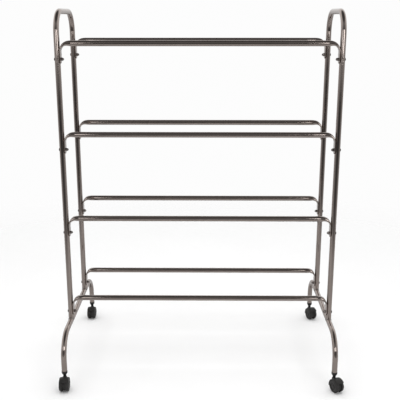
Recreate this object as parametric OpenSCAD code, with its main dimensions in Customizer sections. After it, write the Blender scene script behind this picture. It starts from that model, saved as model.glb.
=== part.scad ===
// Four-tier rolling clothes rack in bent steel tube.
//
// Two end frames stand left and right. Each one is a tall hoop (two uprights joined by a bent top)
// welded onto a low base arch, whose two legs end in twin-wheel casters. Four tiers of rails, one in
// front and one behind on each tier, join the end frames. Each rail's ends are pressed flat, bent down
// and bolted to the inner side of an upright with one screw and one cap nut.
//
// Frame: X runs along the rails (right is +X), Y runs from front to back, Z is up. The origin lies on
// the floor, midway between the four legs. Millimetres.

/* [Tube] */
// Outside diameter of every tube
tube_d = 19; // [16:0.5:22]
// Wall thickness of every tube
tube_wall = 1.2; // [1:0.1:1.8]

/* [End frames] */
// Distance between the front and rear uprights of one hoop, centre to centre
upright_gap = 277; // [200:1:340]
// Height of the hoops' top bar above the floor, to its centre
hoop_top_z = 1268; // [1250:1:1400]
// Centreline radius of the hoops' two top bends
hoop_bend_r = 70; // [40:1:90]
// Distance between the front and rear legs of one base, centre to centre
leg_gap = 590; // [520:1:700]
// Height of the bases' horizontal run above the floor, to its centre
base_z = 187; // [180:1:200]
// Centreline radius of the bases' two bends
base_bend_r = 80; // [50:1:87]
// Height of the legs' open lower ends above the floor
leg_end_z = 68; // [66:1:72]

/* [Rails] */
// Length of each rail over its two flattened ends
rail_len = 914; // [600:1:1200]
// Heights of the bottom, lower, upper and top rails above the floor, to their centres
rail_heights = [273, 571, 866, 1167]; // [260:1:1180]
// Centreline radius of the bend at each end of a rail
rail_bend_r = 25; // [22:1:35]
// Length of straight rail over which the flattening begins, before the bend
flatten_lead = 12; // [8:1:30]
// Thickness of the flattened ends
tab_t = 2.6; // [2.4:0.1:3.6]
// Distance from a rail's centre down to the screw through its flattened end
screw_drop = 51; // [45:1:60]

/* [Fasteners] */
// Diameter of the screws' shanks
screw_d = 6; // [5:0.5:6]
// Diameter of the screws' low domed heads
head_d = 11; // [10:0.5:12]
// Height of the screws' heads
head_h = 2.3; // [2:0.1:3]
// Width of the cap nuts across their flats
nut_af = 10; // [10:0.5:11]
// Length of the cap nuts over hexagon and dome
nut_h = 9.5; // [8.5:0.5:12]

/* [Casters] */
// Diameter of the caster wheels
wheel_d = 45; // [43:0.5:47]
// Width of a caster over its two wheels
caster_w = 34; // [32:0.5:38]
// Thickness of the hoods' central web, which carries the stem and the axle
web_t = 10; // [9.5:0.5:11]
// Distance that the axle trails behind the swivel stem
caster_trail = 16; // [15:0.5:18]
// Height of the hoods' collars above the floor
hood_top_z = 49.5; // [49:0.5:50]
// How far the front left, front right, rear left and rear right casters are turned on their stems
swivel_deg = [2, 27, -1, 22]; // [-45:1:45]

/* [Hidden] */
TIERS = ["bottom", "lower", "upper", "top"];
ROWS = ["front", "rear"];
SIDES = ["left", "right"];
CORNERS = ["front_left", "front_right", "rear_left", "rear_right"];

// One part in contact with another is drawn this far clear of it.
fit_gap = 0.05;
// Radial clearance of a turning fit.
run_gap = 0.05;
// Overlap that joins two volumes of one piece, and overshoot of a cut past a face.
overlap = 1;

// Tubes and frame.
tube_r = tube_d / 2;
bore_r = tube_r - tube_wall;
frame_w = rail_len + tube_d + 2 * fit_gap;
screw_hole_r = screw_d / 2 + 0.2;

// Rail ends. The flat tab's middle plane is at tab_x, and the bend's centre at bend_x.
tab_x = rail_len / 2 - tab_t / 2;
bend_x = tab_x - rail_bend_r;
flatten_x = bend_x - flatten_lead;
// The flattening end starts this much inside the round tube, and ends this much inside the flat tab,
// so that the three meet in clean edges.
end_step = 0.3;
tab_step = 0.15;
end_half_t = tube_r - 2 * end_step;
press_half_t = tab_t / 2 - tab_step;
tab_half_w = flat_half_width(press_half_t) + tab_step;
// Rings of the flattening end, and straight steps round each of a ring's two rounded edges.
end_rings = 14;
edge_steps = 7;

// Screws and cap nuts.
thread_gap = 0.05;
recess_w = 1;
recess_h = 1.2;
nut_hex_h = 0.5 * nut_h;
nut_dome_r = 0.46 * nut_af;
nut_end_wall = 2;
// The shank stops short of the nut's blind end.
shank_end_gap = 1;

// Stem, from its riveted foot upwards.
pin_r = 3;
rivet_r = 4.2;
rivet_h = 1.6;
rivet_gap = 0.2;
pin_end_z = 25;
stem_r = 4;
stem_tip_h = 1.5;
stem_top_z = leg_end_z + 27;
flange_r = 5.4;
flange_h = 1.2;
flange_gap = 0.3;
flange_z = hood_top_z + flange_gap;

// Grip ring, in a groove of the stem.
ring_z = leg_end_z + 18;
ring_h = 4;
ring_groove_r = 3.2;
ring_play = 0.3;
ring_r = stem_r + 0.4;
ring_split = 1.2;

// Plug in the leg: spigot inside the tube, rim against its end, tapered nose below.
spigot_r = bore_r - 0.4;
spigot_h = 30;
rib_h = 2;
rib_shares = [0.2, 0.5, 0.8];
plug_rim_r = tube_r + 0.5;
plug_rim_h = 8;
plug_rim_z = leg_end_z - fit_gap - plug_rim_h;
nose_gap = 2.2;
nose_z = flange_z + flange_h + nose_gap;
nose_r = 5.3;
nose_top_r = tube_r - 0.3;
ring_room = 0.5;

// Axle and wheels.
axle_r = 3;
axle_z = wheel_d / 2;
axle_half = caster_w / 2 - 4;
axle_chamfer = 0.5;
axle_end_gap = 0.4;
wheel_in_x = web_t / 2 + 0.6;
wheel_out_round = 6;
wheel_in_round = 1.5;
dish_in_r = 7;
dish_out_r = 13;
dish_depth = 1.8;
// Centre of the rounding along a wheel's outer edge: distance from the axle, and along it.
round_r = wheel_d / 2 - wheel_out_round;
round_x = caster_w / 2 - wheel_out_round;

// Hood. The fender's angles are measured about the axle, from the stem's side upwards.
fender_start = -12;
fender_end = 138;
fender_wall = 2.6;
wheel_gap = 1;
hood_in_r = wheel_d / 2 + wheel_gap;
hood_out_r = hood_in_r + fender_wall;
hood_half_w = caster_w / 2 - 1;
disc_r = wheel_d / 2 - 3.5;
boss_r = 8;
boss_z = axle_z + 6;
boss_shoulder_z = axle_z + sqrt(pow(hood_out_r, 2) - pow(caster_trail, 2)) + 0.8;
collar_r = 5.4;
rivet_room = 1.6;

$fn = 64;

function side_sign(i) = i == 0 ? -1 : 1;
function smooth(t) = t * t * (3 - 2 * t);
// Half the width of a tube pressed to half-thickness a, its outline keeping its length.
function flat_half_width(a) = a + PI * (tube_r - end_step - a) / 2;

// ---- Tube shapes -----------------------------------------------------------------------------

// A quarter turn of round bar in the YZ plane, from +Y up to +Z, about the origin.
module quarter_bend(bend_r, r)
    rotate([90, 0, 90])
        rotate_extrude(angle = 90)
            translate([bend_r, 0])
                circle(r);

// A round bar bent to an arch in the YZ plane: two legs up from foot_z and a level top at top_z.
module arch(gap, foot_z, top_z, bend_r, r) {
    leg_top_z = top_z - bend_r;
    bend_y = gap / 2 - bend_r;
    for (row = [0, 1])
        mirror([0, row, 0]) {
            translate([0, gap / 2, foot_z])
                cylinder(r = r, h = leg_top_z - foot_z);
            translate([0, bend_y, leg_top_z])
                quarter_bend(bend_r, r);
        }
    translate([0, -bend_y, top_z])
        rotate([-90, 0, 0])
            cylinder(r = r, h = 2 * bend_y);
}

module tube_arch(gap, foot_z, top_z, bend_r)
    difference() {
        arch(gap, foot_z, top_z, bend_r, tube_r);
        arch(gap, foot_z - overlap, top_z, bend_r, bore_r);
    }

// ---- End frames ------------------------------------------------------------------------------

// A hoop: its two feet are cut to saddle the base, and each upright has four cross holes.
module hoop(side)
    color("silver")
        translate([side * frame_w / 2, 0, 0])
            difference() {
                tube_arch(upright_gap, base_z, hoop_top_z, hoop_bend_r);
                translate([0, -leg_gap / 2, base_z])
                    rotate([-90, 0, 0])
                        cylinder(r = tube_r + fit_gap, h = leg_gap);
                for (row = [-1, 1])
                    for (h = rail_heights)
                        translate([-tube_d, row * upright_gap / 2, h - screw_drop])
                            rotate([0, 90, 0])
                                cylinder(r = screw_hole_r, h = 2 * tube_d);
            }

module base(side)
    color("silver")
        translate([side * frame_w / 2, 0, 0])
            tube_arch(leg_gap, leg_end_z, base_z, base_bend_r);

// ---- Rails -----------------------------------------------------------------------------------

// Outline of a pressed tube of half-thickness a: [along Y, along the thickness] of each point.
function flat_outline(a) =
    let (flat = flat_half_width(a) - a)
    [for (edge = [1, -1])
        for (k = [0:edge_steps])
            let (turn = edge * (-90 + 180 * k / edge_steps))
            [edge * (flat + a * cos(turn)), a * sin(turn)]];

// One ring of points round the flattening end, at a share t of the way along it.
function end_ring(t) =
    let (
        along = t * (flatten_lead + rail_bend_r * PI / 2),
        turn = max(0, along - flatten_lead) / rail_bend_r * 180 / PI,
        x = min(flatten_x + along, bend_x) + rail_bend_r * sin(turn),
        z = rail_bend_r * (cos(turn) - 1),
        half_t = end_half_t + (press_half_t - end_half_t) * smooth(t)
    )
    [for (p = flat_outline(half_t)) [x + p[1] * sin(turn), p[0], z + p[1] * cos(turn)]];

// The bent end of a rail, from inside the round tube at flatten_x to inside the flat tab.
module flattening_end() {
    n = 2 * (edge_steps + 1);
    points = [for (i = [0:end_rings]) each end_ring(i / end_rings)];
    walls = [for (i = [0:end_rings - 1]) for (j = [0:n - 1])
        let (a = i * n + j, b = i * n + (j + 1) % n)
        each [[a, b + n, b], [a, a + n, b + n]]];
    first = [for (j = [0:n - 1]) j];
    last = [for (j = [0:n - 1]) end_rings * n + n - 1 - j];
    polyhedron(points = points, faces = concat([first], walls, [last]));
}

// The flat tab below a rail's bend, rounded at its lower end, with its screw hole.
module tab()
    difference() {
        translate([tab_x - tab_t / 2, 0, 0])
            rotate([90, 0, 90])
                linear_extrude(tab_t) {
                    translate([-tab_half_w, -screw_drop])
                        square([2 * tab_half_w, screw_drop - rail_bend_r + overlap]);
                    translate([0, -screw_drop])
                        circle(tab_half_w);
                }
        translate([tab_x - tab_t, 0, -screw_drop])
            rotate([0, 90, 0])
                cylinder(r = screw_hole_r, h = 2 * tab_t);
    }

module rail(row, height)
    color("silver")
        translate([0, row * upright_gap / 2, height])
            difference() {
                union() {
                    translate([-flatten_x - overlap, 0, 0])
                        rotate([0, 90, 0])
                            cylinder(r = tube_r, h = 2 * (flatten_x + overlap));
                    for (side = [0, 1])
                        mirror([side, 0, 0]) {
                            flattening_end();
                            tab();
                        }
                }
                translate([-flatten_x + overlap, 0, 0])
                    rotate([0, 90, 0])
                        cylinder(r = bore_r, h = 2 * (flatten_x - overlap));
            }

// ---- Fasteners -------------------------------------------------------------------------------

// Places its children at every screw of one end frame, +Z pointing outwards along the screw from
// the upright's centre.
module at_screws(side)
    translate([side * frame_w / 2, 0, 0])
        for (row = [-1, 1])
            for (h = rail_heights)
                translate([0, row * upright_gap / 2, h - screw_drop])
                    rotate([0, side * 90, 0])
                        children();

// Low domed screw head, standing on z = 0.
module screw_head() {
    dome_r = (pow(head_d / 2, 2) + pow(head_h, 2)) / (2 * head_h);
    difference() {
        intersection() {
            cylinder(d = head_d, h = head_h + overlap);
            translate([0, 0, head_h - dome_r])
                sphere(dome_r);
        }
        for (turn = [0, 90])
            rotate([0, 0, turn])
                translate([-head_d / 4, -recess_w / 2, head_h - recess_h])
                    cube([head_d / 2, recess_w, recess_h + overlap]);
    }
}

// A screw: its head outside the upright, and its shank through tube and tab into the cap nut.
module screw() {
    head_z = tube_r + fit_gap;
    shank_end_z = -(tube_r + tab_t + nut_h - nut_end_wall - shank_end_gap);
    translate([0, 0, head_z])
        screw_head();
    translate([0, 0, shank_end_z])
        cylinder(r = screw_d / 2 - thread_gap, h = head_z - shank_end_z + overlap / 2);
}

module rail_screws(side)
    color("dimgray")
        at_screws(side)
            screw();

// A low cap nut on its flat face: a hexagon, then a dome on a short collar, drilled from below.
module cap_nut()
    difference() {
        union() {
            cylinder(r = nut_af / sqrt(3), h = nut_hex_h, $fn = 6);
            cylinder(r = nut_dome_r, h = max(nut_hex_h, nut_h - nut_dome_r));
            translate([0, 0, nut_h - nut_dome_r])
                sphere(nut_dome_r);
        }
        translate([0, 0, -overlap])
            cylinder(r = screw_d / 2, h = overlap + nut_h - nut_end_wall);
    }

module cap_nuts(side)
    color("dimgray")
        at_screws(side)
            rotate([180, 0, 0])
                translate([0, 0, tube_r + tab_t + 3 * fit_gap])
                    cap_nut();

// ---- Casters ---------------------------------------------------------------------------------

// Places its children at a corner's stem, on the floor, in the frame's own directions.
module at_corner(i)
    translate([side_sign(i % 2) * frame_w / 2, side_sign(floor(i / 2)) * leg_gap / 2, 0])
        children();

// As at_corner, and turned with the caster: the wheels trail towards -Y.
module at_caster(i)
    at_corner(i)
        rotate([0, 0, swivel_deg[i]])
            children();

// Lays a shape drawn about Z along the axle: its X to the frame's Y, its Y upwards, its Z to X.
module on_axle()
    translate([0, -caster_trail, axle_z])
        rotate([90, 0, 90])
            children();

// Plug pressed into the leg, bored for the stem.
module socket(i)
    color([0.1, 0.1, 0.1])
        at_corner(i)
            difference() {
                union() {
                    translate([0, 0, leg_end_z - overlap])
                        cylinder(r = spigot_r, h = spigot_h + overlap);
                    for (share = rib_shares)
                        translate([0, 0, leg_end_z + share * spigot_h])
                            cylinder(r = bore_r - fit_gap, h = rib_h);
                    translate([0, 0, plug_rim_z])
                        cylinder(r = plug_rim_r, h = plug_rim_h);
                    translate([0, 0, nose_z])
                        cylinder(r1 = nose_r, r2 = nose_top_r, h = plug_rim_z - nose_z);
                }
                translate([0, 0, nose_z - overlap])
                    cylinder(r = stem_r + run_gap, h = leg_end_z + spigot_h);
                translate([0, 0, ring_z - ring_room])
                    cylinder(r = ring_r + ring_play, h = ring_h + 2 * ring_room);
            }

// Steel stem: held in the plug by the grip ring, and riveted through the hood, which turns on it.
module stem(i)
    color("gray")
        at_corner(i)
            difference() {
                union() {
                    translate([0, 0, flange_z]) {
                        cylinder(r = flange_r, h = flange_h);
                        cylinder(r = stem_r, h = stem_top_z - stem_tip_h - flange_z);
                    }
                    translate([0, 0, stem_top_z - stem_tip_h])
                        cylinder(r1 = stem_r, r2 = stem_r - stem_tip_h, h = stem_tip_h);
                    translate([0, 0, pin_end_z - overlap])
                        cylinder(r = pin_r, h = flange_z - pin_end_z + 2 * overlap);
                    translate([0, 0, pin_end_z - rivet_gap - rivet_h])
                        cylinder(r = rivet_r, h = rivet_h);
                }
                translate([0, 0, ring_z])
                    difference() {
                        cylinder(r = stem_r + overlap, h = ring_h);
                        cylinder(r = ring_groove_r, h = ring_h);
                    }
            }

// Split spring ring in the stem's groove.
module grip_ring(i)
    color("silver")
        at_corner(i)
            translate([0, 0, ring_z + ring_play])
                difference() {
                    cylinder(r = ring_r, h = ring_h - 2 * ring_play);
                    translate([0, 0, -overlap])
                        cylinder(r = ring_groove_r + fit_gap, h = ring_h + overlap);
                    translate([0, -ring_split / 2, -overlap])
                        cube([2 * stem_r, ring_split, ring_h + overlap]);
                }

// Region inside an outline that follows the wheels' treads, grown by r about the rounding's centre.
module tread_outline(r) {
    translate([0, -round_x])
        square([round_r + r, 2 * round_x]);
    for (end = [-1, 1])
        translate([round_r, end * round_x])
            circle(r);
}

// Section of the fender, [radius, distance along the axle]: a wall round the treads.
module fender_section()
    intersection() {
        difference() {
            tread_outline(wheel_out_round + wheel_gap + fender_wall);
            tread_outline(wheel_out_round + wheel_gap);
        }
        translate([round_r, -hood_half_w])
            square([hood_out_r, 2 * hood_half_w]);
    }

// Side outline of the web: a disc about the axle, and a sector that reaches the fender and the boss,
// open below the stem's rivet.
module web_outline() {
    reach = 2 * hood_out_r;
    difference() {
        union() {
            circle(disc_r);
            intersection() {
                circle(hood_in_r + overlap);
                polygon([
                    [0, 0],
                    reach * [cos(fender_start), sin(fender_start)],
                    [reach, reach],
                    [-reach, reach],
                    reach * [cos(fender_end), sin(fender_end)]
                ]);
            }
        }
        translate([caster_trail - rivet_r - rivet_room, -reach])
            square([reach, reach + pin_end_z - axle_z]);
    }
}

// Boss and collar round the stem, cut away where the wheels turn.
module boss()
    difference() {
        union() {
            translate([0, 0, boss_z])
                cylinder(r = boss_r, h = boss_shoulder_z - boss_z);
            translate([0, 0, boss_shoulder_z])
                cylinder(r1 = boss_r, r2 = collar_r, h = boss_r - collar_r);
            translate([0, 0, boss_z])
                cylinder(r = collar_r, h = hood_top_z - boss_z);
        }
        on_axle()
            translate([0, 0, -caster_w / 2])
                cylinder(r = hood_in_r, h = caster_w);
    }

// Hood: a fender over both wheels, a web between them and a boss round the stem.
module hood(i)
    color([0.12, 0.12, 0.12])
        at_caster(i)
            difference() {
                union() {
                    on_axle() {
                        rotate_extrude(angle = fender_end - fender_start, start = fender_start)
                            fender_section();
                        translate([0, 0, -web_t / 2])
                            linear_extrude(web_t)
                                web_outline();
                    }
                    boss();
                }
                translate([0, 0, pin_end_z - overlap])
                    cylinder(r = pin_r + run_gap, h = hood_top_z);
                on_axle()
                    translate([0, 0, -web_t])
                        cylinder(r = axle_r + fit_gap, h = 2 * web_t);
            }

module axle(i)
    color("silver")
        at_caster(i)
            on_axle() {
                translate([0, 0, axle_chamfer - axle_half])
                    cylinder(r = axle_r, h = 2 * (axle_half - axle_chamfer));
                for (end = [0, 1])
                    mirror([0, 0, end])
                        translate([0, 0, axle_half - axle_chamfer])
                            cylinder(r1 = axle_r, r2 = axle_r - axle_chamfer, h = axle_chamfer);
            }

// Section of a wheel, [radius, distance along the axle]. The tread's two edges are rounded, the outer
// face is dished round a raised hub, and the axle's bore is blind.
module wheel_section() {
    rim_r = wheel_d / 2;
    out_x = caster_w / 2;
    tread_x = wheel_in_x + wheel_in_round;
    difference() {
        union() {
            translate([0, wheel_in_x])
                square([round_r, out_x - wheel_in_x]);
            translate([0, tread_x])
                square([rim_r, round_x - tread_x]);
            translate([0, wheel_in_x])
                square([rim_r - wheel_in_round, wheel_in_round]);
            translate([rim_r - wheel_in_round, tread_x])
                circle(wheel_in_round);
            intersection() {
                translate([round_r, round_x])
                    circle(wheel_out_round);
                translate([0, round_x])
                    square([rim_r + overlap, wheel_out_round]);
            }
        }
        translate([dish_in_r, out_x - dish_depth])
            square([dish_out_r - dish_in_r, dish_depth + overlap]);
        translate([-overlap, wheel_in_x - overlap])
            square([overlap + axle_r + run_gap, axle_half + axle_end_gap - wheel_in_x + overlap]);
    }
}

module wheel(i, side)
    color([0.14, 0.14, 0.14])
        at_caster(i)
            on_axle()
                mirror([0, 0, side > 0 ? 0 : 1])
                    rotate_extrude()
                        wheel_section();

// ---- Assembly --------------------------------------------------------------------------------

for (s = [0, 1]) {
    hoop(side_sign(s));
    base(side_sign(s));
    rail_screws(side_sign(s));
    cap_nuts(side_sign(s));
}
for (t = [0:3]) {
    rail(-1, rail_heights[t]);
    rail(1, rail_heights[t]);
}
for (i = [0:3]) {
    socket(i);
    stem(i);
    grip_ring(i);
    hood(i);
    axle(i);
    wheel(i, -1);
    wheel(i, 1);
}
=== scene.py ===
"""Looks of the four-tier rolling clothes rack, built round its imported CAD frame.

Two hooped end frames in chrome tube stand on low base arches with twin-wheel casters, and eight chrome
rails join them. Each piece below is a smooth version of its CAD node, with the same sizes, apart from the
weld beads round the hoops' feet, which have no CAD node.
Sizes are in millimetres, and `new_object` makes the objects in metres.
"""

import math
import random

import bmesh
import bpy
from mathutils import Matrix, Vector


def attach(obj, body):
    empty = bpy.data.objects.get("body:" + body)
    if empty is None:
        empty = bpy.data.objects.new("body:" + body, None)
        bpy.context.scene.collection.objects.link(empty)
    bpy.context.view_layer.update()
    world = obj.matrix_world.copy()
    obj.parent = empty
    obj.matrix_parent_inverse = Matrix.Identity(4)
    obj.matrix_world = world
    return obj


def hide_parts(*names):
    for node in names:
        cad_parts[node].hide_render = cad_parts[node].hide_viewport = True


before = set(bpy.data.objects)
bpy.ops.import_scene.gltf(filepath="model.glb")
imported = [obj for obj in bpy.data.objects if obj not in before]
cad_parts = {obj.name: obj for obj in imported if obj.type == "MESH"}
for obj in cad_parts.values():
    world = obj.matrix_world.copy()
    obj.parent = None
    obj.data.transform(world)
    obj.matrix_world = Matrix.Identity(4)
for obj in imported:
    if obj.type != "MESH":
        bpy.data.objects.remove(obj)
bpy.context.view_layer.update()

MM = 0.001
PI = math.pi
random.seed(7)

# ---- Sizes, as in the CAD ------------------------------------------------------------------------

TUBE_R = 9.5
TUBE_WALL = 1.2
BORE_R = TUBE_R - TUBE_WALL
# Gaps of pieces that touch, and of pieces that turn in one another.
FIT_GAP = 0.05
RUN_GAP = 0.05

UPRIGHT_GAP = 277
HOOP_TOP_Z = 1268
HOOP_BEND_R = 70
LEG_GAP = 590
BASE_Z = 187
BASE_BEND_R = 80
LEG_END_Z = 68

RAIL_LEN = 914
RAIL_HEIGHTS = {"bottom": 273, "lower": 571, "upper": 866, "top": 1167}
RAIL_BEND_R = 25
# Length of straight rail over which the flattening begins, before the bend.
FLATTEN_LEAD = 12
TAB_T = 2.6
SCREW_DROP = 51
# Small steps in the CAD's rail ends, on which the width of the pressed tab depends.
END_STEP = 0.3
TAB_STEP = 0.15

SCREW_D = 6
HEAD_D = 11
HEAD_H = 2.3
NUT_AF = 10
NUT_H = 9.5

WHEEL_D = 45
CASTER_W = 34
WEB_T = 10
CASTER_TRAIL = 16
HOOD_TOP_Z = 49.5
SWIVEL_DEG = {"front_left": 2, "front_right": 27, "rear_left": -1, "rear_right": 22}

FRAME_W = RAIL_LEN + 2 * TUBE_R + 2 * FIT_GAP
SIDE = {"left": -1, "right": 1}
ROW = {"front": -1, "rear": 1}
CORNERS = [(row, side) for row in ROW for side in SIDE]

# Steps round a tube's section, and along a bend.
SECTION_STEPS = 48
BEND_STEPS = 28
# How far a cutting shape reaches past what it cuts.
CUT_MARGIN = 1

# In metres: points closer than the first are merged, and edges shorter than the second are dropped.
MERGE_DIST = 1e-6
SHORT_EDGE = 1e-7
# Edges that turn by more than this are shaded sharp.
SHARP_DEG = 35


# ---- Mesh helpers --------------------------------------------------------------------------------


def turns(steps):
    """Angles of `steps` equal steps round a full turn."""
    return [2 * PI * k / steps for k in range(steps)]


def spread(first, last, steps):
    """`steps` equal steps from first to last, both included."""
    return [first + (last - first) * k / steps for k in range(steps + 1)]


def smooth(t):
    """Eases a share from 0 to 1, with no slope at either end."""
    return t * t * (3 - 2 * t)


def loft(rings, closed=False):
    """Joins rings of equally many points. A closed loft ends where it starts; an open one gets caps."""
    size = len(rings[0])
    verts = [p for ring in rings for p in ring]
    pairs = [(i, i + 1) for i in range(len(rings) - 1)]
    if closed:
        pairs.append((len(rings) - 1, 0))
    faces = []
    for a, b in pairs:
        for j in range(size):
            k = (j + 1) % size
            faces.append((a * size + j, a * size + k, b * size + k, b * size + j))
    if not closed:
        faces.append(tuple(range(size - 1, -1, -1)))
        faces.append(tuple(range((len(rings) - 1) * size, len(rings) * size)))
    return verts, faces


def lathe(profile, steps=SECTION_STEPS, closed=False, radius_at=None):
    """Turns a profile of (radius, z) about Z. `radius_at(angle, radius, z)` may reshape each ring."""
    shape = radius_at or (lambda angle, radius, z: radius)
    rings = []
    for radius, z in profile:
        ring = []
        for angle in turns(steps):
            r = shape(angle, radius, z)
            ring.append((r * math.cos(angle), r * math.sin(angle), z))
        rings.append(ring)
    return loft(rings, closed=closed)


def arc(centre, radius, first_deg, last_deg, steps):
    """Points of an arc, for use in a profile."""
    points = []
    for deg in spread(first_deg, last_deg, steps):
        a = math.radians(deg)
        points.append((centre[0] + radius * math.cos(a), centre[1] + radius * math.sin(a)))
    return points


def moved(part, matrix):
    """A part's copy put through a matrix. A mirrored copy's faces are turned to point outwards again."""
    verts, faces = part
    points = [tuple(matrix @ Vector(v)) for v in verts]
    if matrix.determinant() < 0:
        faces = [tuple(reversed(f)) for f in faces]
    return points, faces


def joined(parts):
    """Several parts as one, with nothing merged."""
    verts = []
    faces = []
    for part_verts, part_faces in parts:
        start = len(verts)
        verts.extend(part_verts)
        faces.extend(tuple(start + i for i in f) for f in part_faces)
    return verts, faces


def tidy_mesh(mesh, sharp_deg):
    """Merges the points of closed-up rings, faces the mesh outwards and shades it smooth."""
    bm = bmesh.new()
    bm.from_mesh(mesh)
    bmesh.ops.remove_doubles(bm, verts=bm.verts, dist=MERGE_DIST)
    bmesh.ops.dissolve_degenerate(bm, edges=bm.edges, dist=SHORT_EDGE)
    bmesh.ops.recalc_face_normals(bm, faces=bm.faces)
    for face in bm.faces:
        face.smooth = True
    bm.to_mesh(mesh)
    bm.free()
    mesh.set_sharp_from_angle(angle=math.radians(sharp_deg))


def new_object(name, part, sharp_deg=SHARP_DEG):
    verts, faces = part
    mesh = bpy.data.meshes.new(name)
    mesh.from_pydata([tuple(MM * c for c in v) for v in verts], [], faces)
    mesh.update()
    tidy_mesh(mesh, sharp_deg)
    obj = bpy.data.objects.new(name, mesh)
    bpy.context.scene.collection.objects.link(obj)
    return obj


def add_piece(name, part, material, body, node, sharp_deg=SHARP_DEG):
    """Makes a piece that stands for a CAD node."""
    finish_piece(new_object(name, part, sharp_deg), material, body, node)


def finish_piece(obj, material, body, node=None):
    """Gives a piece its material and body. A piece with no node stands for nothing in the CAD."""
    obj.data.materials.clear()
    obj.data.materials.append(material)
    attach(obj, body)
    if node:
        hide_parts(node)


def part_of(obj):
    """The points, in millimetres, and faces of an object's mesh. The object is then removed."""
    mesh = obj.data
    verts = [tuple(c / MM for c in v.co) for v in mesh.vertices]
    faces = [tuple(p.vertices) for p in mesh.polygons]
    bpy.data.objects.remove(obj)
    bpy.data.meshes.remove(mesh)
    return verts, faces


def combine(base, others, operation):
    """The exact union or difference of a part and others."""
    target = new_object("combine_base", base)
    tools = [new_object("combine_tool", other) for other in others]
    for tool in tools:
        modifier = target.modifiers.new("combine", "BOOLEAN")
        modifier.operation = operation
        modifier.solver = "EXACT"
        modifier.object = tool
    graph = bpy.context.evaluated_depsgraph_get()
    result = bpy.data.meshes.new_from_object(target.evaluated_get(graph))
    old = target.data
    target.modifiers.clear()
    target.data = result
    bpy.data.meshes.remove(old)
    for tool in tools:
        part_of(tool)
    return part_of(target)


def box_part(low, high):
    (x0, y0, z0), (x1, y1, z1) = low, high
    return loft([[(x0, y0, z), (x1, y0, z), (x1, y1, z), (x0, y1, z)] for z in (z0, z1)])


# ---- Tube shapes ---------------------------------------------------------------------------------


def arch_path(gap, foot_z, top_z, bend_r):
    """Centres and in-plane normals of an arch in the YZ plane, from its front foot to its rear one."""
    leg_top_z = top_z - bend_r
    bend_y = gap / 2 - bend_r
    path = [((-gap / 2, foot_z), (-1, 0))]
    for deg in spread(180, 90, BEND_STEPS):
        a = math.radians(deg)
        normal = (math.cos(a), math.sin(a))
        path.append(((-bend_y + bend_r * normal[0], leg_top_z + bend_r * normal[1]), normal))
    mirrored = [((-y, z), (-ny, nz)) for (y, z), (ny, nz) in reversed(path)]
    return path + mirrored


def arch_ring(point, radius, foot_shape=None):
    """One ring round an arch's path. `foot_shape(x)` gives the height of each point of a cut foot."""
    (y, z), (ny, nz) = point
    ring = []
    for angle in turns(SECTION_STEPS):
        x = radius * math.cos(angle)
        out = radius * math.sin(angle)
        height = foot_shape(x) if foot_shape else z + out * nz
        ring.append((x, y + out * ny, height))
    return ring


def tube_arch(gap, foot_z, top_z, bend_r, foot_shape=None):
    """Tube bent to an arch: its outer wall, and back along its bore."""
    path = arch_path(gap, foot_z, top_z, bend_r)
    last = len(path) - 1
    outer = []
    inner = []
    for i, point in enumerate(path):
        shape = foot_shape if i in (0, last) else None
        outer.append(arch_ring(point, TUBE_R, shape))
        inner.append(arch_ring(point, BORE_R, shape))
    return loft(outer + inner[::-1], closed=True)


def saddle_z(x):
    """Height at which an upright's foot meets the base run, at x across it."""
    reach = TUBE_R + FIT_GAP
    return BASE_Z + math.sqrt(reach * reach - x * x)


def hoop_part():
    return tube_arch(UPRIGHT_GAP, BASE_Z, HOOP_TOP_Z, HOOP_BEND_R, saddle_z)


def base_part():
    return tube_arch(LEG_GAP, LEG_END_Z, BASE_Z, BASE_BEND_R)


WELD_R = 1.5
WELD_SINK = 0.7
# The bead is tucked in on the left and right of the run, and lies higher in front and behind.
WELD_TUCK = 0.5
WELD_LIFT = 0.4
WELD_STEPS = 96
WELD_SECTION_STEPS = 12
WELD_RIPPLES = 24
WELD_RIPPLE_H = 0.12


def weld_part(row):
    """Bead of weld round one upright's foot, rippled along its length."""
    up = Vector((0, 0, 1))
    rings = []
    for angle in turns(WELD_STEPS):
        reach = TUBE_R + WELD_R - WELD_SINK - WELD_TUCK * abs(math.cos(angle))
        x = reach * math.cos(angle)
        y = row * UPRIGHT_GAP / 2 + reach * math.sin(angle)
        z = saddle_z(TUBE_R * math.cos(angle)) + WELD_LIFT * abs(math.sin(angle))
        radius = WELD_R + WELD_RIPPLE_H * math.cos(WELD_RIPPLES * angle)
        out = Vector((math.cos(angle), math.sin(angle), 0))
        centre = Vector((x, y, z))
        ring = []
        for turn in turns(WELD_SECTION_STEPS):
            ring.append(tuple(centre + radius * (math.cos(turn) * out + math.sin(turn) * up)))
        rings.append(ring)
    return loft(rings, closed=True)


# ---- Rails ---------------------------------------------------------------------------------------

TAB_X = RAIL_LEN / 2 - TAB_T / 2
BEND_X = TAB_X - RAIL_BEND_R
FLATTEN_X = BEND_X - FLATTEN_LEAD
PRESS_HALF_T = TAB_T / 2 - TAB_STEP
TAB_HALF_W = PRESS_HALF_T + PI * (TUBE_R - END_STEP - PRESS_HALF_T) / 2 + TAB_STEP
END_STEPS = 40
TIP_STEPS = 16
# The rounded tip's last ring stays just short of a point.
TIP_LAST_DEG = 88
NEARLY_ZERO = 1e-9


def pressed_ring(centre, turn, half_t, half_w):
    """Ring of a tube pressed to half_t thick and half_w wide, its path turned down by `turn`."""
    edge = min(half_t, half_w)
    flat = half_w - edge
    ring = []
    for angle in turns(SECTION_STEPS):
        c = math.cos(angle)
        s = math.sin(angle)
        across = edge * c + (math.copysign(flat, c) if abs(c) > NEARLY_ZERO else 0)
        if half_t > edge:
            s = math.copysign(1, s) * math.sqrt(max(0, 1 - c * c))
        out = half_t * s
        ring.append((centre[0] + out * math.sin(turn), across, centre[1] + out * math.cos(turn)))
    return ring


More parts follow.
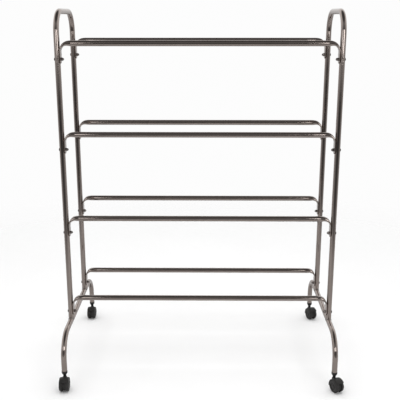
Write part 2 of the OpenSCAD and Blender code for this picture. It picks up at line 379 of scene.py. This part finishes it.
def rail_end_rings():
    """Rings of a rail's right end, from the round tube to the rounded tip of the flat tab."""
    rings = []
    bend_len = RAIL_BEND_R * PI / 2
    for t in spread(0, 1, END_STEPS):
        along = t * (FLATTEN_LEAD + bend_len)
        turn = max(0, along - FLATTEN_LEAD) / RAIL_BEND_R
        x = min(FLATTEN_X + along, BEND_X) + RAIL_BEND_R * math.sin(turn)
        z = RAIL_BEND_R * (math.cos(turn) - 1)
        share = smooth(t)
        half_t = TUBE_R + (TAB_T / 2 - TUBE_R) * share
        half_w = TUBE_R + (TAB_HALF_W - TUBE_R) * share
        rings.append(pressed_ring((x, z), turn, half_t, half_w))
    for deg in spread(0, TIP_LAST_DEG, TIP_STEPS):
        a = math.radians(deg)
        z = -SCREW_DROP - TAB_HALF_W * math.sin(a)
        rings.append(pressed_ring((TAB_X, z), PI / 2, TAB_T / 2, TAB_HALF_W * math.cos(a)))
    return rings


def rail_part():
    """A rail along X, its round length centred on z = 0."""
    right = rail_end_rings()
    left = [[(-x, y, z) for x, y, z in ring] for ring in right]
    return loft(left[::-1] + right)


# ---- Fasteners -----------------------------------------------------------------------------------

SHANK_CHAMFER = 0.5
SHANK_END_GAP = 1
HEAD_EDGE_W = 0.25
HEAD_EDGE_H = 0.2
HEAD_RIM_DEG = 4
RECESS_HALF_L = HEAD_D / 4
RECESS_W = 1
RECESS_H = 1.2
SCREW_DOME_STEPS = 10

NUT_HEX_H = 0.5 * NUT_H
NUT_DOME_R = 0.46 * NUT_AF
NUT_END_WALL = 2
NUT_CHAMFER_H = 0.6
NUT_CHAMFER_IN_R = 0.97 * NUT_AF / 2
NUT_CHAMFER_SLOPE = math.tan(math.radians(30))
NUT_CHAMFER_STEPS = 6
NUT_DOME_STEPS = 12


def screw_part():
    """Low domed screw with a cross recess, its head on z = 0 outwards and its shank below."""
    head_r = HEAD_D / 2
    dome_r = (head_r**2 + HEAD_H**2) / (2 * HEAD_H)
    dome_z = HEAD_H - dome_r
    rim_deg = math.degrees(math.asin(-dome_z / dome_r)) + HEAD_RIM_DEG
    shank_r = SCREW_D / 2 - FIT_GAP
    shank_end = -(2 * TUBE_R + FIT_GAP + TAB_T + NUT_H - NUT_END_WALL - SHANK_END_GAP)
    profile = [(0, shank_end), (shank_r - SHANK_CHAMFER, shank_end), (shank_r, shank_end + SHANK_CHAMFER)]
    profile += [(shank_r, 0), (head_r - HEAD_EDGE_W, 0), (head_r, HEAD_EDGE_H)]
    profile += arc((0, dome_z), dome_r, rim_deg, 90, SCREW_DOME_STEPS)
    slot_low = (-RECESS_HALF_L, -RECESS_W / 2, HEAD_H - RECESS_H)
    slot_high = (RECESS_HALF_L, RECESS_W / 2, HEAD_H + CUT_MARGIN)
    slots = [moved(box_part(slot_low, slot_high), Matrix.Rotation(turn, 4, "Z")) for turn in (0, PI / 2)]
    return combine(lathe(profile), slots, "DIFFERENCE")


def hex_radius(angle, radius, z):
    """Radius of the nut's rings: the hexagon, with its outer corners chamfered, or round."""
    if radius < NUT_AF / 2:
        return radius
    side = NUT_AF / 2 / math.cos(math.fmod(angle, PI / 3) - PI / 6)
    chamfer = NUT_CHAMFER_IN_R + (NUT_HEX_H - z) / NUT_CHAMFER_SLOPE
    return min(side, chamfer)


def nut_part():
    """Cap nut standing on z = 0, its dome upwards."""
    corner = NUT_AF / math.sqrt(3)
    chamfer_z = spread(NUT_HEX_H - NUT_CHAMFER_H, NUT_HEX_H, NUT_CHAMFER_STEPS)
    profile = [(0, NUT_H - NUT_END_WALL), (SCREW_D / 2, NUT_H - NUT_END_WALL), (SCREW_D / 2, 0)]
    profile += [(corner, 0)] + [(corner, z) for z in chamfer_z]
    profile += [(NUT_DOME_R, NUT_HEX_H)]
    profile += arc((0, NUT_H - NUT_DOME_R), NUT_DOME_R, 0, 90, NUT_DOME_STEPS)
    return lathe(profile, radius_at=hex_radius)


def at_screw(side, row, height):
    """Place of one screw: +Z points outwards along it from the upright's centre."""
    place = Matrix.Translation((SIDE[side] * FRAME_W / 2, ROW[row] * UPRIGHT_GAP / 2, height - SCREW_DROP))
    return place @ Matrix.Rotation(SIDE[side] * PI / 2, 4, "Y")


def fastener_set(side, part, offset, flip):
    """One end frame's eight screws or nuts, each tightened to its own angle."""
    copies = []
    for row in ROW:
        for height in RAIL_HEIGHTS.values():
            place = at_screw(side, row, height)
            if flip:
                place = place @ Matrix.Rotation(PI, 4, "X")
            place = place @ Matrix.Translation((0, 0, offset))
            copies.append(moved(part, place @ Matrix.Rotation(random.uniform(0, PI), 4, "Z")))
    return joined(copies)


# ---- Casters: stem and plug ----------------------------------------------------------------------

FLANGE_GAP = 0.3
FLANGE_R = 5.4
FLANGE_H = 1.2
FLANGE_Z = HOOD_TOP_Z + FLANGE_GAP
STEM_R = 4
STEM_IN_LEG = 27
STEM_TOP_Z = LEG_END_Z + STEM_IN_LEG
STEM_CHAMFER = 1.5
PIN_R = 3
PIN_END_Z = 25
RIVET_R = 4.2
RIVET_H = 1.6
RIVET_EDGE = 0.6
RIVET_GAP = 0.2
RING_IN_LEG = 18
RING_Z = LEG_END_Z + RING_IN_LEG
RING_H = 4
RING_GROOVE_R = 3.2

SPIGOT_R = BORE_R - 0.4
SPIGOT_H = 30
SPIGOT_EDGE = 0.5
RIB_SHARES = (0.2, 0.5, 0.8)
RIB_H = 2
RIB_RISE = 0.3
RIB_FALL = 0.6
RIM_R = TUBE_R + 0.5
RIM_H = 8
RIM_Z = LEG_END_Z - FIT_GAP - RIM_H
RIM_EDGE = 0.4
RIM_BEVEL_W = 0.2
RIM_BEVEL_LOW = 0.3
RIM_BEVEL_HIGH = 1
NOSE_GAP = 2.2
NOSE_Z = FLANGE_Z + FLANGE_H + NOSE_GAP
NOSE_R = 5.3
NOSE_TOP_R = TUBE_R - 0.3
NOSE_EDGE = 0.4
NOSE_BULGE = 0.5
NOSE_FIRST_SHARE = 0.1
NOSE_STEPS = 10


def at_corner(row, side):
    return Matrix.Translation((SIDE[side] * FRAME_W / 2, ROW[row] * LEG_GAP / 2, 0))


def at_caster(row, side):
    turn = math.radians(SWIVEL_DEG[f"{row}_{side}"])
    return at_corner(row, side) @ Matrix.Rotation(turn, 4, "Z")


def nose_profile():
    """The plug's nose, from its lower edge up to the rim, bulging a little outwards."""
    profile = [(NOSE_R - NOSE_EDGE, NOSE_Z), (NOSE_R, NOSE_Z + NOSE_EDGE)]
    for share in spread(NOSE_FIRST_SHARE, 1, NOSE_STEPS):
        bulge = NOSE_BULGE * math.sin(PI * share)
        radius = NOSE_R + (NOSE_TOP_R - NOSE_R) * share + bulge
        profile.append((radius, NOSE_Z + share * (RIM_Z - NOSE_Z)))
    return profile


def socket_part():
    """Plug pressed into the leg, with a bowl-shaped nose below its rim, bored for the stem."""
    bore = STEM_R + RUN_GAP
    rib_r = BORE_R - FIT_GAP
    rim_top = RIM_Z + RIM_H
    profile = [(bore, NOSE_Z)] + nose_profile()
    profile += [(RIM_R - RIM_BEVEL_W, RIM_Z + RIM_BEVEL_LOW), (RIM_R, RIM_Z + RIM_BEVEL_HIGH)]
    profile += [(RIM_R, rim_top - RIM_EDGE), (RIM_R - RIM_EDGE, rim_top), (SPIGOT_R, rim_top)]
    for share in RIB_SHARES:
        rib_z = LEG_END_Z + share * SPIGOT_H
        profile += [(SPIGOT_R, rib_z), (rib_r, rib_z + RIB_RISE)]
        profile += [(rib_r, rib_z + RIB_H - RIB_FALL), (SPIGOT_R, rib_z + RIB_H)]
    top_z = LEG_END_Z + SPIGOT_H
    profile += [(SPIGOT_R, top_z - SPIGOT_EDGE), (SPIGOT_R - SPIGOT_EDGE, top_z), (bore, top_z)]
    return lathe(profile, closed=True)


def stem_part():
    """Stem: riveted foot, pin through the hood, flange, and shank with the grip ring's groove."""
    rivet_z = PIN_END_Z - RIVET_GAP - RIVET_H
    rivet_top = rivet_z + RIVET_H
    profile = [(0, rivet_z), (RIVET_R - RIVET_EDGE, rivet_z)]
    profile += [(RIVET_R, rivet_z + RIVET_EDGE), (RIVET_R, rivet_top), (PIN_R, rivet_top)]
    profile += [(PIN_R, FLANGE_Z), (FLANGE_R, FLANGE_Z)]
    profile += [(FLANGE_R, FLANGE_Z + FLANGE_H), (STEM_R, FLANGE_Z + FLANGE_H), (STEM_R, RING_Z)]
    profile += [(RING_GROOVE_R, RING_Z), (RING_GROOVE_R, RING_Z + RING_H), (STEM_R, RING_Z + RING_H)]
    profile += [(STEM_R, STEM_TOP_Z - STEM_CHAMFER), (STEM_R - STEM_CHAMFER, STEM_TOP_Z), (0, STEM_TOP_Z)]
    return lathe(profile)


# ---- Casters: wheels and hood --------------------------------------------------------------------

AXLE_R = 3
AXLE_Z = WHEEL_D / 2
AXLE_HALF = CASTER_W / 2 - 4
AXLE_CHAMFER = 0.5
AXLE_END_GAP = 0.4

WHEEL_IN_X = WEB_T / 2 + 0.6
WHEEL_OUT_ROUND = 6
WHEEL_IN_ROUND = 1.5
WHEEL_STEPS = 72
TREAD_STEPS = 14
INNER_ROUND_STEPS = 6
DISH_IN_R = 7
DISH_OUT_R = 13
DISH_DEPTH = 1.8
DISH_FILLET = 0.6
DISH_FILLET_STEPS = 4
ROUND_R = WHEEL_D / 2 - WHEEL_OUT_ROUND
ROUND_X = CASTER_W / 2 - WHEEL_OUT_ROUND

# The fender's two ends, in degrees about the axle.
FENDER_START = -12
FENDER_END = 138
FENDER_WALL = 2.6
FENDER_LIP = 0.6
FENDER_STEPS = 60
FENDER_OUT_STEPS = 8
FENDER_IN_STEPS = 6
HOOD_IN_R = WHEEL_D / 2 + 1
HOOD_OUT_R = HOOD_IN_R + FENDER_WALL
HOOD_HALF_W = CASTER_W / 2 - 1
# How far the web and the boss reach into the fender's wall.
FUSE_DEPTH = 1

DISC_R = WHEEL_D / 2 - 3.5
RIVET_ROOM = 1.6
BOSS_R = 8
BOSS_Z = AXLE_Z + 6
BOSS_SHOULDER_Z = AXLE_Z + math.sqrt(HOOD_OUT_R**2 - CASTER_TRAIL**2) + 0.8
BOSS_EDGE = 0.5
COLLAR_R = 5.4
COLLAR_EDGE = 0.3
COLLAR_FOOT = 0.4
BOSS_CUT_STEPS = 120

# Lays a shape drawn about Z along the axle: its X to the frame's Y, its Y upwards, its Z to X.
ON_AXLE = Matrix.Translation((0, -CASTER_TRAIL, AXLE_Z)) @ Matrix(
    ((0, 0, 1, 0), (1, 0, 0, 0), (0, 1, 0, 0), (0, 0, 0, 1))
)


def axle_part():
    half = AXLE_HALF
    profile = [(0, -half), (AXLE_R - AXLE_CHAMFER, -half), (AXLE_R, AXLE_CHAMFER - half)]
    profile += [(AXLE_R, half - AXLE_CHAMFER), (AXLE_R - AXLE_CHAMFER, half), (0, half)]
    return lathe(profile)


def dish_corner(radius, x, first_deg, last_deg):
    """Rounded corner of the dish in the wheel's outer face."""
    return arc((radius, x), DISH_FILLET, first_deg, last_deg, DISH_FILLET_STEPS)


def wheel_part():
    """Wheel along +Z: rounded tread, dished outer face round a raised hub, and a blind bore."""
    out_x = CASTER_W / 2
    high_x = out_x - DISH_FILLET
    low_x = out_x - DISH_DEPTH + DISH_FILLET
    bore_end = AXLE_HALF + AXLE_END_GAP
    bore = AXLE_R + RUN_GAP
    profile = [(0, out_x), (DISH_IN_R - DISH_FILLET, out_x)]
    profile += dish_corner(DISH_IN_R - DISH_FILLET, high_x, 90, 0)[1:]
    profile += dish_corner(DISH_IN_R + DISH_FILLET, low_x, 180, 270)
    profile += dish_corner(DISH_OUT_R - DISH_FILLET, low_x, 270, 360)
    profile += dish_corner(DISH_OUT_R + DISH_FILLET, high_x, 180, 90)
    profile += arc((ROUND_R, ROUND_X), WHEEL_OUT_ROUND, 90, 0, TREAD_STEPS)
    inner = (WHEEL_D / 2 - WHEEL_IN_ROUND, WHEEL_IN_X + WHEEL_IN_ROUND)
    profile += arc(inner, WHEEL_IN_ROUND, 0, -90, INNER_ROUND_STEPS)
    profile += [(bore, WHEEL_IN_X), (bore, bore_end), (0, bore_end)]
    return lathe(profile, steps=WHEEL_STEPS)


def fender_part():
    """Curved wall over both wheels, swept about the axle."""
    out_r = WHEEL_OUT_ROUND + HOOD_OUT_R - WHEEL_D / 2
    in_r = WHEEL_OUT_ROUND + HOOD_IN_R - WHEEL_D / 2
    side = HOOD_HALF_W - ROUND_X
    out_deg = math.degrees(math.asin((side - FENDER_LIP) / out_r))
    in_deg = math.degrees(math.asin((side - FENDER_LIP) / in_r))
    half = arc((ROUND_R, ROUND_X), out_r, 0, out_deg, FENDER_OUT_STEPS)
    edge_out = ROUND_R + math.sqrt(out_r**2 - side**2)
    edge_in = ROUND_R + math.sqrt(in_r**2 - side**2)
    half += [(edge_out - FENDER_LIP, HOOD_HALF_W), (edge_in + FENDER_LIP, HOOD_HALF_W)]
    half += arc((ROUND_R, ROUND_X), in_r, in_deg, 0, FENDER_IN_STEPS)
    section = half + [(r, -x) for r, x in reversed(half)]
    rings = []
    for deg in spread(FENDER_START, FENDER_END, FENDER_STEPS):
        a = math.radians(deg)
        rings.append([(r * math.cos(a), r * math.sin(a), x) for r, x in section])
    return loft(rings)


def web_part():
    """Plate between the wheels: a disc about the axle and a sector to the fender, cut away at the rivet."""
    outline = arc((0, 0), HOOD_IN_R + FUSE_DEPTH, FENDER_START, FENDER_END, FENDER_STEPS)
    outline += arc((0, 0), DISC_R, FENDER_END, 360 + FENDER_START, FENDER_STEPS)
    plate = loft([[(x, y, z) for x, y in outline] for z in (-WEB_T / 2, WEB_T / 2)])
    far = 3 * HOOD_OUT_R
    gap_x = CASTER_TRAIL - RIVET_R - RIVET_ROOM
    gap = box_part((gap_x, -far, -WEB_T), (far, PIN_END_Z - AXLE_Z, WEB_T))
    return combine(plate, [gap], "DIFFERENCE")


def boss_part():
    """Boss and collar round the stem, cut away where the wheels turn."""
    shoulder_top = BOSS_SHOULDER_Z + BOSS_R - COLLAR_R
    profile = [(0, BOSS_Z), (BOSS_R, BOSS_Z), (BOSS_R, BOSS_SHOULDER_Z - BOSS_EDGE)]
    profile += [(BOSS_R - 0.5 * BOSS_EDGE, BOSS_SHOULDER_Z + 0.3 * BOSS_EDGE)]
    profile += [(COLLAR_R + COLLAR_FOOT, shoulder_top - COLLAR_FOOT)]
    profile += [(COLLAR_R, shoulder_top + COLLAR_EDGE), (COLLAR_R, HOOD_TOP_Z - COLLAR_EDGE)]
    profile += [(COLLAR_R - COLLAR_EDGE, HOOD_TOP_Z), (0, HOOD_TOP_Z)]
    cut_r = HOOD_IN_R + FUSE_DEPTH
    cutter = lathe([(cut_r, -CASTER_W / 2), (cut_r, CASTER_W / 2)], steps=BOSS_CUT_STEPS)
    return combine(lathe(profile), [moved(cutter, ON_AXLE)], "DIFFERENCE")


def hood_part():
    """Fender, web and boss as one solid, bored for the stem's pin and the axle."""
    fender = moved(fender_part(), ON_AXLE)
    web = moved(web_part(), ON_AXLE)
    body = combine(fender, [web, boss_part()], "UNION")
    pin_r = PIN_R + RUN_GAP
    pin = lathe([(pin_r, PIN_END_Z - CUT_MARGIN), (pin_r, HOOD_TOP_Z + CUT_MARGIN)])
    bore = moved(lathe([(AXLE_R + FIT_GAP, -WEB_T), (AXLE_R + FIT_GAP, WEB_T)]), ON_AXLE)
    return combine(body, [pin, bore], "DIFFERENCE")


# ---- Materials -----------------------------------------------------------------------------------

# The colour sockets of a mix node, by their place in its lists of inputs and outputs.
MIX_A = 6
MIX_B = 7
MIX_RESULT = 2


class Nodes:
    """A node tree, with short ways to add and link nodes."""

    def __init__(self, tree):
        self.tree = tree

    def add(self, kind):
        return self.tree.nodes.new(f"ShaderNode{kind}")

    def link(self, source, socket):
        self.tree.links.new(source, socket)

    def ranged(self, source, first, last, low=0.0, high=1.0):
        """Maps the source, as it goes from first to last, to low up to high."""
        node = self.add("MapRange")
        node.inputs["From Min"].default_value = first
        node.inputs["From Max"].default_value = last
        node.inputs["To Min"].default_value = low
        node.inputs["To Max"].default_value = high
        self.link(source, node.inputs["Value"])
        return node.outputs["Result"]

    def ramp(self, source, stops):
        """Colour by the source, from stops of a position and a colour."""
        node = self.add("ValToRGB")
        elements = node.color_ramp.elements
        while len(elements) < len(stops):
            elements.new(0.5)
        for element, (position, colour) in zip(elements, stops):
            element.position = position
            element.color = (*colour, 1)
        self.link(source, node.inputs["Fac"])
        return node.outputs["Color"]

    def mixed(self, factor, a, b):
        """Goes from a to b with the factor. Here b is another node's output or a plain colour."""
        node = self.add("Mix")
        node.data_type = "RGBA"
        self.link(factor, node.inputs["Factor"])
        self.link(a, node.inputs[MIX_A])
        if isinstance(b, tuple):
            node.inputs[MIX_B].default_value = (*b, 1)
        else:
            self.link(b, node.inputs[MIX_B])
        return node.outputs[MIX_RESULT]

    def seen_by_camera(self):
        return self.add("LightPath").outputs["Is Camera Ray"]


class Shader(Nodes):
    """A Principled material whose colour, roughness and bump come from procedural noise."""

    # Most of a noise's values lie between these two.
    NOISE_LOW = 0.3
    NOISE_HIGH = 0.7

    def __init__(self, name):
        self.material = bpy.data.materials.new(name)
        self.material.use_nodes = True
        super().__init__(self.material.node_tree)
        self.surface = self.tree.nodes["Principled BSDF"]
        self.coords = self.add("TexCoord").outputs["Object"]

    def stretched(self, scale):
        mapping = self.add("Mapping")
        mapping.inputs["Scale"].default_value = scale
        self.link(self.coords, mapping.inputs["Vector"])
        return mapping.outputs["Vector"]

    def noise(self, scale, detail, stretch=None):
        node = self.add("TexNoise")
        node.inputs["Scale"].default_value = scale
        node.inputs["Detail"].default_value = detail
        self.link(self.stretched(stretch) if stretch else self.coords, node.inputs["Vector"])
        return node.outputs["Fac"]

    def tinted(self, source, dark, light, first=NOISE_LOW, last=NOISE_HIGH):
        """Colour from dark to light, as the source goes from first to last."""
        return self.ramp(source, [(first, dark), (last, light)])

    def spread(self, source, low, high):
        return self.ranged(source, self.NOISE_LOW, self.NOISE_HIGH, low, high)

    def bump(self, source, strength, distance, below=None):
        node = self.add("Bump")
        node.inputs["Strength"].default_value = strength
        node.inputs["Distance"].default_value = distance
        self.link(source, node.inputs["Height"])
        if below:
            self.link(below, node.inputs["Normal"])
        return node.outputs["Normal"]

    def use(self, socket, source):
        self.link(source, self.surface.inputs[socket])

    def set(self, socket, value):
        self.surface.inputs[socket].default_value = value


def chrome():
    """Warm, rather dark plating over drawn tube: faint clouding, wiped smudges and a slow waviness."""
    s = Shader("chrome_tube_finish")
    s.set("Metallic", 1.0)
    cloud = s.noise(scale=9, detail=4)
    s.use("Base Color", s.tinted(cloud, (0.32, 0.274, 0.25), (0.375, 0.322, 0.297), first=0.25, last=0.75))
    smudge = s.noise(scale=34, detail=5)
    s.use("Roughness", s.spread(smudge, low=0.05, high=0.13))
    waves = s.bump(s.noise(scale=22, detail=2), strength=0.08, distance=0.0005)
    grain = s.noise(scale=420, detail=2)
    s.use("Normal", s.bump(grain, strength=0.02, distance=0.00003, below=waves))
    return s.material


def weld_metal():
    """Plated weld bead: duller than the tube, with small pits."""
    s = Shader("weld_finish")
    s.set("Metallic", 1.0)
    s.use("Base Color", s.tinted(s.noise(scale=160, detail=4), (0.27, 0.25, 0.24), (0.42, 0.40, 0.385)))
    s.use("Roughness", s.spread(s.noise(scale=240, detail=3), low=0.16, high=0.34))
    s.use("Normal", s.bump(s.noise(scale=700, detail=3), strength=0.3, distance=0.0002))
    return s.material


def dark_steel():
    """Blackened screws and nuts, rubbed brighter in patches."""
    s = Shader("dark_fastener_finish")
    s.set("Metallic", 1.0)
    rubbed = s.noise(scale=420, detail=4)
    s.use("Base Color", s.tinted(rubbed, (0.17, 0.152, 0.143), (0.34, 0.305, 0.29), first=0.35, last=0.75))
    s.use("Roughness", s.spread(s.noise(scale=600, detail=3), low=0.26, high=0.44))
    s.use("Normal", s.bump(s.noise(scale=1500, detail=2), strength=0.12, distance=0.0001))
    return s.material


def bright_steel():
    """Turned steel with fine rings."""
    s = Shader("bright_steel_finish")
    s.set("Metallic", 1.0)
    s.use("Base Color", s.tinted(s.noise(scale=300, detail=3), (0.46, 0.46, 0.47), (0.60, 0.60, 0.60)))
    grain = s.noise(scale=1200, detail=3, stretch=(0.05, 1, 1))
    s.use("Roughness", s.spread(grain, low=0.22, high=0.4))
    s.use("Normal", s.bump(grain, strength=0.1, distance=0.0001))
    return s.material


def black_steel():
    """Blackened steel stem."""
    s = Shader("black_steel_finish")
    s.set("Metallic", 0.6)
    s.use("Base Color", s.tinted(s.noise(scale=300, detail=3), (0.03, 0.03, 0.03), (0.06, 0.058, 0.055)))
    s.use("Roughness", s.spread(s.noise(scale=500, detail=3), low=0.34, high=0.5))
    s.use("Normal", s.bump(s.noise(scale=1500, detail=2), strength=0.1, distance=0.0001))
    return s.material


DUST_GAIN = 2.2
MOST_DUST = 0.3


def moulded_nylon(name, dark, light, low_rough, high_rough):
    """Moulded plastic: spark-eroded grain, faint clouding and dust in patches."""
    s = Shader(name)
    s.set("Specular IOR Level", 0.42)
    base = s.tinted(s.noise(scale=60, detail=4), dark, light)
    dust = tuple(DUST_GAIN * c for c in light)
    patches = s.spread(s.noise(scale=45, detail=5), low=0.0, high=MOST_DUST)
    s.use("Base Color", s.mixed(patches, base, dust))
    s.use("Roughness", s.spread(s.noise(scale=170, detail=4), low_rough, high_rough))
    s.use("Normal", s.bump(s.noise(scale=2600, detail=2), strength=0.25, distance=0.00008))
    return s.material


CHROME = chrome()
WELD = weld_metal()
DARK_STEEL = dark_steel()
BRIGHT_STEEL = bright_steel()
BLACK_STEEL = black_steel()
NYLON = moulded_nylon(
    "black_nylon_finish",
    dark=(0.013, 0.0122, 0.0117),
    light=(0.021, 0.0197, 0.019),
    low_rough=0.42,
    high_rough=0.6,
)
WHEEL_NYLON = moulded_nylon(
    "wheel_nylon_finish",
    dark=(0.015, 0.0141, 0.0136),
    light=(0.025, 0.0235, 0.0226),
    low_rough=0.34,
    high_rough=0.56,
)


# ---- The rack ------------------------------------------------------------------------------------

NUT_SHARP_DEG = 25
HOOD_SHARP_DEG = 30


def add_end_frame(side, hoop, base, screw, nut):
    """Hoop, base, welds, screws and cap nuts of one side."""
    at_side = Matrix.Translation((SIDE[side] * FRAME_W / 2, 0, 0))
    add_piece(f"{side}_hoop_tube", moved(hoop, at_side), CHROME, "frame", f"{side}_hoop")
    add_piece(f"{side}_base_tube", moved(base, at_side), CHROME, "frame", f"{side}_base")
    welds = joined([moved(weld_part(row), at_side) for row in ROW.values()])
    finish_piece(new_object(f"{side}_foot_welds", welds), WELD, "frame")
    screws = fastener_set(side, screw, TUBE_R + FIT_GAP, flip=False)
    add_piece(f"{side}_screw_set", screws, DARK_STEEL, "frame", f"{side}_rail_screws")
    nuts = fastener_set(side, nut, TUBE_R + TAB_T + 3 * FIT_GAP, flip=True)
    nut_node = f"{side}_cap_nuts"
    add_piece(f"{side}_cap_nut_set", nuts, DARK_STEEL, "frame", nut_node, NUT_SHARP_DEG)


def add_rails(rail):
    for tier, height in RAIL_HEIGHTS.items():
        for row, sign in ROW.items():
            place = Matrix.Translation((0, sign * UPRIGHT_GAP / 2, height))
            name = f"{tier}_{row}_rail"
            add_piece(f"{name}_tube", moved(rail, place), CHROME, "frame", name)


def add_caster(row, side, socket, stem, axle, hood, wheels):
    """One leg's plug and stem, which stay with the frame, and the parts that swivel on them."""
    corner = f"{row}_{side}"
    caster = f"{corner}_caster"
    still = at_corner(row, side)
    turned = at_caster(row, side)
    add_piece(f"{corner}_plug", moved(socket, still), NYLON, "frame", f"{corner}_socket")
    add_piece(f"{corner}_pin", moved(stem, still), BLACK_STEEL, "frame", f"{corner}_stem")
    cover = moved(hood, turned)
    add_piece(f"{corner}_cover", cover, NYLON, caster, f"{corner}_hood", HOOD_SHARP_DEG)
    spindle = moved(axle, turned)
    add_piece(f"{corner}_spindle", spindle, BRIGHT_STEEL, caster, f"{corner}_axle")
    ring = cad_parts[f"{corner}_grip_ring"]
    ring.data.materials.clear()
    ring.data.materials.append(BRIGHT_STEEL)
    for which, wheel in wheels.items():
        node = f"{corner}_{which}_wheel"
        tyre = moved(wheel, turned)
        add_piece(f"{node}_tyre", tyre, WHEEL_NYLON, f"{node}_body", node)


def build_rack():
    screw = screw_part()
    nut = nut_part()
    hoop = hoop_part()
    base = base_part()
    rail = rail_part()
    for side in SIDE:
        add_end_frame(side, hoop, base, screw, nut)
    add_rails(rail)
    socket = socket_part()
    stem = stem_part()
    axle = moved(axle_part(), ON_AXLE)
    hood = hood_part()
    wheels = {
        "right": moved(wheel_part(), ON_AXLE),
        "left": moved(wheel_part(), ON_AXLE @ Matrix.Scale(-1, 4, (0, 0, 1))),
    }
    for row, side in CORNERS:
        add_caster(row, side, socket, stem, axle, hood, wheels)


# ---- Floor, light and camera ---------------------------------------------------------------------

FLOOR_HALF = 6.0
FLOOR_TONE = 0.93
FLOOR_MIRRORED_TONE = 0.58
FLOOR_CLOUD_GAIN = 1.03
FLOOR_FADE = (0.9, 2.5)


def floor_colour(s, tone):
    """Grey of the given tone with faint clouds."""
    cloud = s.noise(scale=1.5, detail=2)
    return s.tinted(cloud, (tone,) * 3, (FLOOR_CLOUD_GAIN * tone,) * 3)


def floor_material():
    """Matt floor, darker in reflections than to the camera, that fades out with its distance."""
    s = Shader("floor_finish")
    s.set("Roughness", 0.9)
    s.set("Specular IOR Level", 0.1)
    mirrored = floor_colour(s, FLOOR_MIRRORED_TONE)
    seen = floor_colour(s, FLOOR_TONE)
    s.use("Base Color", s.mixed(s.seen_by_camera(), mirrored, seen))
    distance = s.add("VectorMath")
    distance.operation = "LENGTH"
    s.link(s.coords, distance.inputs[0])
    fade = s.ranged(distance.outputs["Value"], *FLOOR_FADE)
    fade.node.interpolation_type = "SMOOTHSTEP"
    mix = s.add("MixShader")
    s.link(fade, mix.inputs["Fac"])
    s.link(s.surface.outputs["BSDF"], mix.inputs[1])
    s.link(s.add("BsdfTransparent").outputs["BSDF"], mix.inputs[2])
    s.link(mix.outputs["Shader"], s.tree.nodes["Material Output"].inputs["Surface"])
    return s.material


def stage_floor():
    mesh = bpy.data.meshes.new("floor")
    h = FLOOR_HALF
    mesh.from_pydata([(-h, -h, 0), (h, -h, 0), (h, h, 0), (-h, h, 0)], [], [(0, 1, 2, 3)])
    mesh.materials.append(floor_material())
    floor = bpy.data.objects.new("floor", mesh)
    bpy.context.scene.collection.objects.link(floor)


# Softboxes stand left and right of the camera, a little above it. Each has its side and its radiance.
SOFTBOXES = {"left": (-1, 2.3), "right": (1, 4.2)}
SOFTBOX_X = 1.25
SOFTBOX_Y = -2.4
SOFTBOX_Z = 1.49
SOFTBOX_TARGET = (0, 0, 1.1)
SOFTBOX_SIZE = (1.0, 0.86)

FILL_PLACE = (0, 0, 4)
FILL_SIZE = (5, 5)
FILL_RADIANCE = 1.75


def soft_light(name, place, target, size, radiance, mirrored=True):
    """Area light of the given radiance. An unmirrored one lights the scene but shows in no reflection."""
    data = bpy.data.lights.new(name, "AREA")
    data.shape = "RECTANGLE"
    data.size, data.size_y = size
    data.energy = PI * size[0] * size[1] * radiance
    light = bpy.data.objects.new(name, data)
    bpy.context.scene.collection.objects.link(light)
    light.location = place
    light.rotation_euler = (Vector(target) - Vector(place)).to_track_quat("-Z", "Y").to_euler()
    light.visible_glossy = mirrored


def stage_lights():
    for name, (sign, radiance) in SOFTBOXES.items():
        place = (sign * SOFTBOX_X, SOFTBOX_Y, SOFTBOX_Z)
        soft_light(f"softbox_{name}", place, SOFTBOX_TARGET, SOFTBOX_SIZE, radiance)
    soft_light("overhead_fill", FILL_PLACE, (0, 0, 0), FILL_SIZE, FILL_RADIANCE, mirrored=False)


# Brightness of the studio by the height of the direction, from straight down (-1) to straight up (1).
STUDIO_FRONT = [
    (-1, 0.1),
    (-0.2, 0.09),
    (-0.15, 0.05),
    (-0.1, 0.07),
    (-0.05, 0.4),
    (0.03, 0.2),
    (0.1, 0.13),
    (0.7, 0.12),
    (1, 0.1),
]
STUDIO_BACK = [(-1, 0.6), (-0.1, 0.64), (0, 0.8), (0.45, 1.2), (0.65, 1.1), (0.85, 0.14), (1, 0.1)]
# The Y of the directions between which the front turns into the back.
STUDIO_TURN = (-0.95, 0.2)
BACKDROP = 0.98


def studio_world():
    """Grey studio, dark ahead of the rack and lighter behind it, before a white backdrop."""
    world = bpy.data.worlds.new("studio")
    bpy.context.scene.world = world
    world.use_nodes = True
    nodes = Nodes(world.node_tree)
    split = nodes.add("SeparateXYZ")
    nodes.link(nodes.add("TexCoord").outputs["Generated"], split.inputs["Vector"])

    def tones(stops):
        height = nodes.ranged(split.outputs["Z"], -1, 1)
        return nodes.ramp(height, [((z + 1) / 2, (grey,) * 3) for z, grey in stops])

    turn = nodes.ranged(split.outputs["Y"], *STUDIO_TURN)
    studio = nodes.mixed(turn, tones(STUDIO_FRONT), tones(STUDIO_BACK))
    shown = nodes.mixed(nodes.seen_by_camera(), studio, (BACKDROP,) * 3)
    nodes.link(shown, nodes.tree.nodes["Background"].inputs["Color"])


CAMERA_PLACE = (0.0212, -2.4142, 1.2539)
CAMERA_PITCH_DEG = 15.137
CAMERA_YAW_DEG = 0.505
CAMERA_LENS = 61.33
CAMERA_SENSOR = 36


def stage_camera():
    data = bpy.data.cameras.new("camera")
    data.lens = CAMERA_LENS
    data.sensor_width = CAMERA_SENSOR
    camera = bpy.data.objects.new("camera", data)
    bpy.context.scene.collection.objects.link(camera)
    camera.location = CAMERA_PLACE
    camera.rotation_euler = (math.radians(90 - CAMERA_PITCH_DEG), 0, math.radians(CAMERA_YAW_DEG))
    bpy.context.scene.camera = camera


build_rack()
stage_floor()
studio_world()
stage_lights()
stage_camera()
bpy.context.scene.view_settings.view_transform = "Standard"
